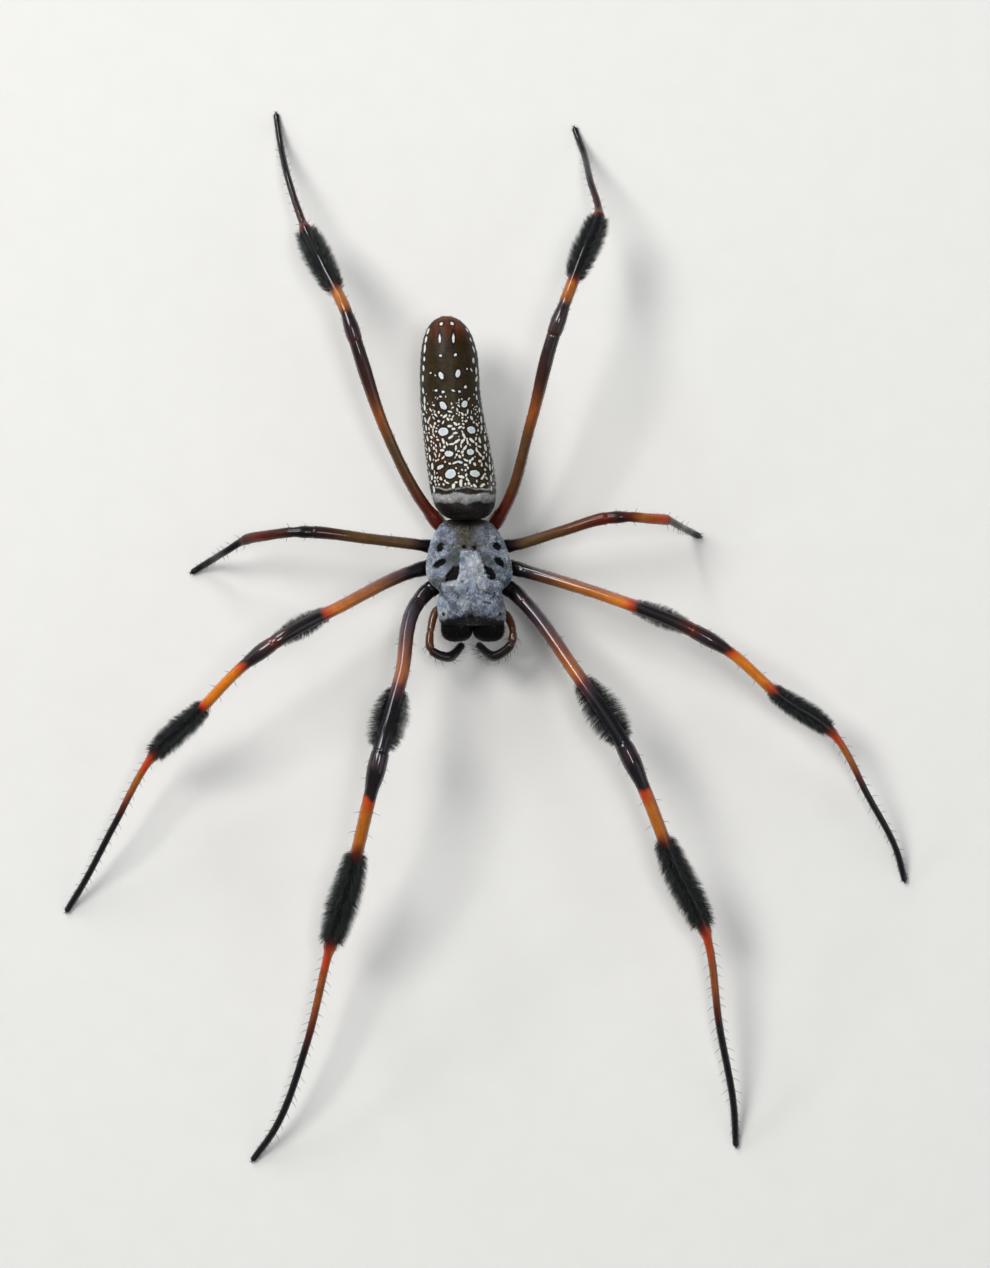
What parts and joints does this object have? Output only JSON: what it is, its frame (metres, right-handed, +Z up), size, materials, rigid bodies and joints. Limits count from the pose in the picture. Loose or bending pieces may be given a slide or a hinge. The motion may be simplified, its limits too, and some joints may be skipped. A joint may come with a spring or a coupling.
{
  "type": "orb weaver spider",
  "caption": "Long-legged female orb weaver spider at life size, silver head and thorax, long spotted abdomen, banded legs with black hair brushes, standing.",
  "frame": {"origin": "on the floor under the middle of the leg span; leg tips at z = 0", "axes": "+Y from the head to the abdomen's end, +X to the spider's left side, +Z up"},
  "size_m": [0.0844, 0.105, 0.0151],
  "materials": {
    "silver_hair": "dense short silver-grey hair lying flat over dark cuticle, with bare dark spots",
    "abdomen_cuticle": "olive-brown cuticle with white and bluish spots and pale specks",
    "black_cuticle": "glossy black cuticle with fine hairs",
    "palp_cuticle": "orange-brown base, glossy black end",
    "spinneret_cuticle": "brown cuticle with short hair",
    "leg_base": "dark red-brown to black glossy cuticle",
    "leg_femur": "glossy brown to orange cuticle, darker at both ends, grey hair film",
    "leg_dark": "glossy black-brown cuticle",
    "leg_tibia": "orange cuticle with a black brush of hair towards the end",
    "leg_metatarsus": "orange-red at the start, black further out",
    "tuft_hair": "black bristly hair standing out round the leg",
    "eye": "small glossy black eyes",
    "claw": "black claws"
  },
  "bodies": {
    "root": {"cephalothorax": "silver_hair", "abdomen": "abdomen_cuticle", "pedicel": "leg_base", "spinnerets": "spinneret_cuticle", "chelicera_left": "black_cuticle", "fang_left": "black_cuticle", "pedipalp_left_femur": "palp_cuticle", "pedipalp_left_tarsus": "palp_cuticle", "chelicera_right": "black_cuticle", "fang_right": "black_cuticle", "pedipalp_right_femur": "palp_cuticle", "pedipalp_right_tarsus": "palp_cuticle", "leg_1_left_coxa": "leg_base", "leg_1_left_femur": "leg_femur", "leg_1_left_patella": "leg_dark", "leg_1_left_tibia": "leg_tibia", "leg_1_left_metatarsus": "leg_metatarsus", "leg_1_left_tarsus": "leg_dark", "leg_1_right_coxa": "leg_base", "leg_1_right_femur": "leg_femur", "leg_1_right_patella": "leg_dark", "leg_1_right_tibia": "leg_tibia", "leg_1_right_metatarsus": "leg_metatarsus", "leg_1_right_tarsus": "leg_dark", "leg_2_left_coxa": "leg_base", "leg_2_left_femur": "leg_femur", "leg_2_left_patella": "leg_dark", "leg_2_left_tibia": "leg_tibia", "leg_2_left_metatarsus": "leg_metatarsus", "leg_2_left_tarsus": "leg_dark", "leg_2_right_coxa": "leg_base", "leg_2_right_femur": "leg_femur", "leg_2_right_patella": "leg_dark", "leg_2_right_tibia": "leg_tibia", "leg_2_right_metatarsus": "leg_metatarsus", "leg_2_right_tarsus": "leg_dark", "leg_3_left_coxa": "leg_base", "leg_3_left_femur": "leg_femur", "leg_3_left_patella": "leg_dark", "leg_3_left_tibia": "leg_tibia", "leg_3_left_metatarsus": "leg_metatarsus", "leg_3_left_tarsus": "leg_dark", "leg_3_right_coxa": "leg_base", "leg_3_right_femur": "leg_femur", "leg_3_right_patella": "leg_dark", "leg_3_right_tibia": "leg_tibia", "leg_3_right_metatarsus": "leg_metatarsus", "leg_3_right_tarsus": "leg_dark", "leg_4_left_coxa": "leg_base", "leg_4_left_femur": "leg_femur", "leg_4_left_patella": "leg_dark", "leg_4_left_tibia": "leg_tibia", "leg_4_left_metatarsus": "leg_metatarsus", "leg_4_left_tarsus": "leg_dark", "leg_4_right_coxa": "leg_base", "leg_4_right_femur": "leg_femur", "leg_4_right_patella": "leg_dark", "leg_4_right_tibia": "leg_tibia", "leg_4_right_metatarsus": "leg_metatarsus", "leg_4_right_tarsus": "leg_dark"}
  },
  "joints": []
}
